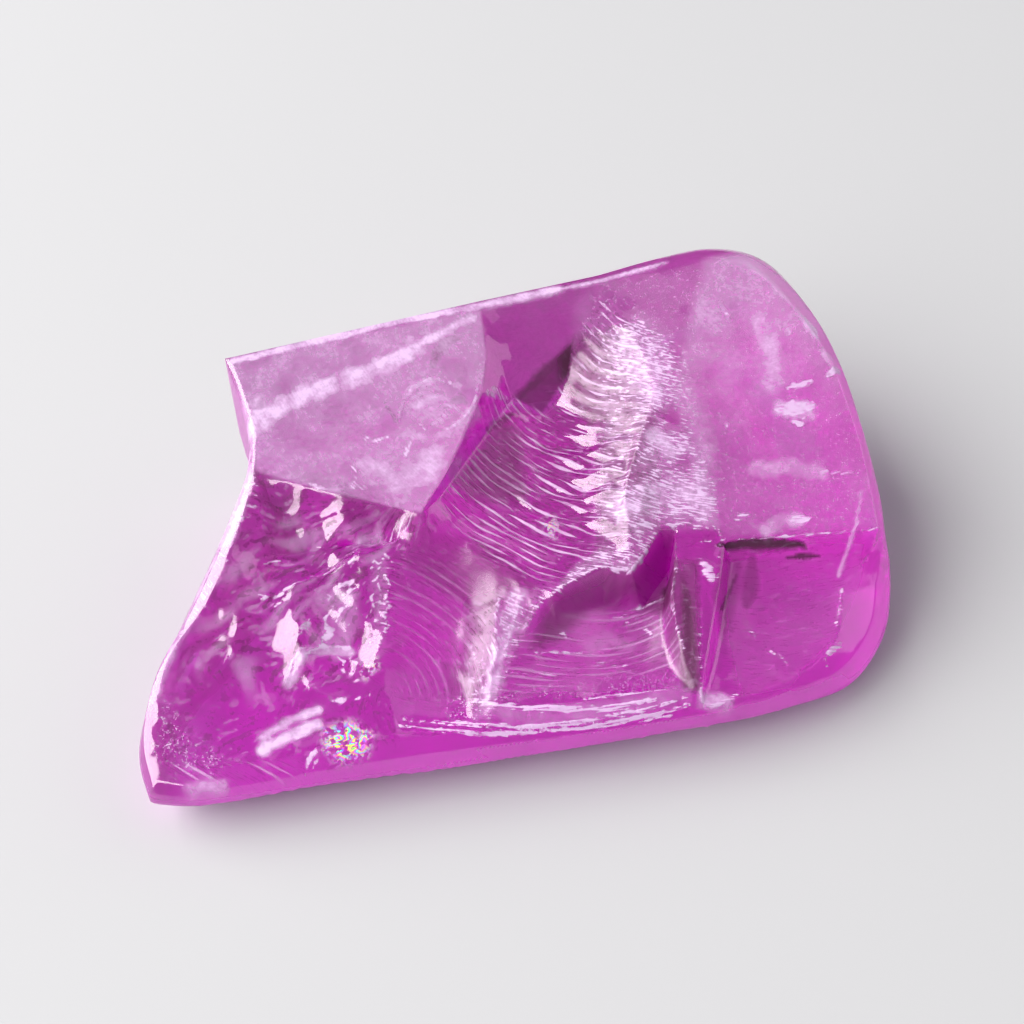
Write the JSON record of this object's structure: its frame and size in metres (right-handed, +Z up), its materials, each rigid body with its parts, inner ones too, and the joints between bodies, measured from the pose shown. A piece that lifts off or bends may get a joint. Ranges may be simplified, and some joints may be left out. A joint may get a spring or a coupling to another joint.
{
  "type": "rough zircon",
  "caption": "Broken piece of clear pink crystal with a straight sawn back, a worn round end and a hollowed, ribbed top, lying on a small flat.",
  "frame": {"origin": "middle of the stone's box, on the surface it lies on", "axes": "+X along the sawn back edge towards the round end, +Y towards the sawn back, +Z up"},
  "size_m": [0.0384, 0.0234, 0.0114],
  "materials": {
    "pink_zircon": "clear and glossy on the broken top, matt on the sawn back and the worn skin"
  },
  "bodies": {
    "root": {"zircon": "pink_zircon"}
  },
  "joints": []
}
